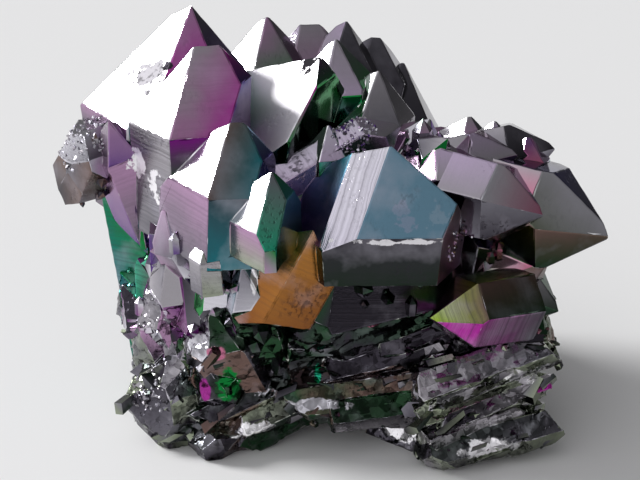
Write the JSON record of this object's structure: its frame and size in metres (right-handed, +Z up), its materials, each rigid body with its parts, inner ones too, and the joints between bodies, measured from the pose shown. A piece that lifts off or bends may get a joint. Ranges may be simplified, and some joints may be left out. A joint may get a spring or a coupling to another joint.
{
  "type": "titanium aura quartz",
  "caption": "Cluster of metal-coated quartz points grown together on broken crystals, with a flat cut underside to rest on.",
  "frame": {"origin": "a point of the flat cut underside, below the middle of the cluster", "axes": "+X to the right of the show side, +Y to the back, +Z up, square to the cut underside"},
  "size_m": [0.0775, 0.0474, 0.0591],
  "materials": {
    "coated_quartz": "mirror-bright metal film over quartz, silver grey with violet, teal, green and gold tints"
  },
  "bodies": {
    "root": {"aura_quartz": "coated_quartz"}
  },
  "joints": []
}
